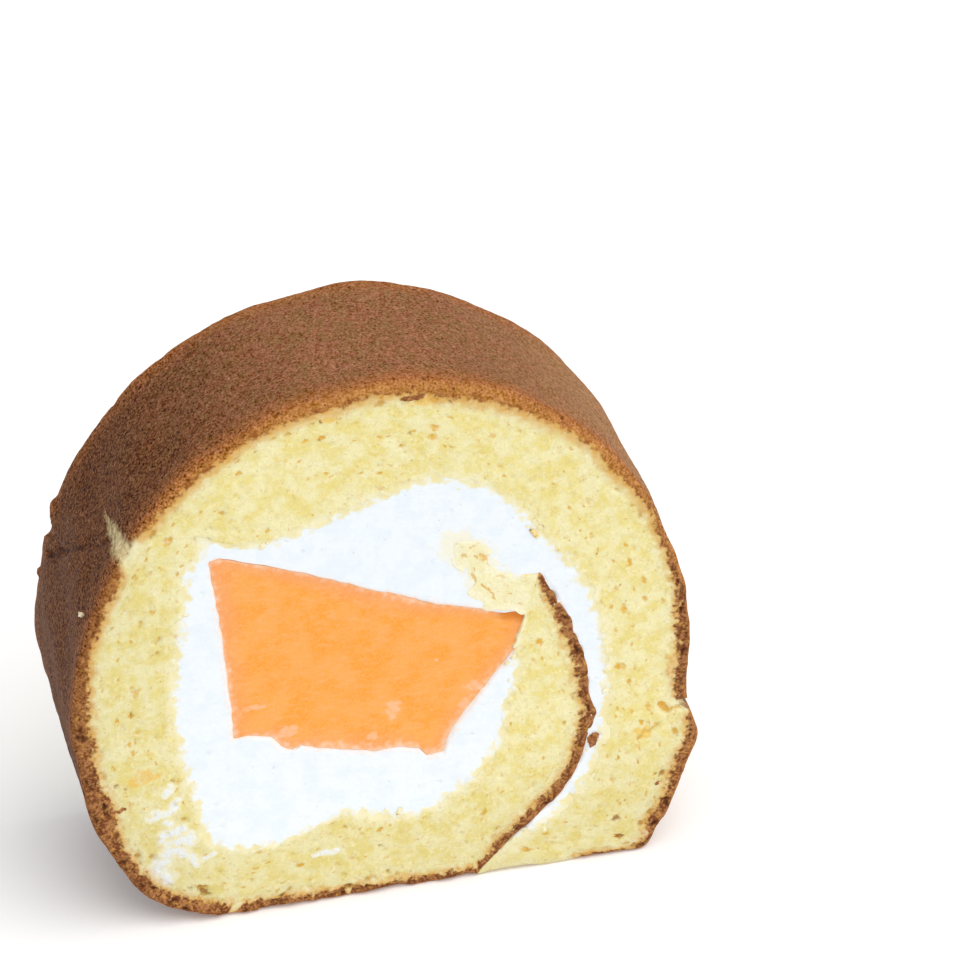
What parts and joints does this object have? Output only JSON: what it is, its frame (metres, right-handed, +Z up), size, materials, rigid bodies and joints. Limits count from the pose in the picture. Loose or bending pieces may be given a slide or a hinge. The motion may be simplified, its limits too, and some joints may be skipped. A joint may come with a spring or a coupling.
{
  "type": "swiss roll cake slice",
  "caption": "Thick slice of swiss roll: a browned sponge sheet rolled round whipped cream and a block of orange-fleshed melon, standing on its flattened side.",
  "frame": {"origin": "middle of the footprint's box on the table, where the slice stands", "axes": "+Z up, Y along the roll's axis with the cut face that shows the loose crust flap on its right towards -Y, +X to the right as that face is seen"},
  "size_m": [0.095, 0.0316, 0.0909],
  "materials": {
    "sponge": "soft open yellow crumb with a dull brown baked skin on its outer side",
    "cream": "whipped cream, satin white, faintly marked by the knife",
    "melon": "moist orange fruit flesh with a soft sheen, paler at its edges"
  },
  "bodies": {
    "root": {"sponge": "sponge", "cream": "cream", "melon": "melon"}
  },
  "joints": []
}
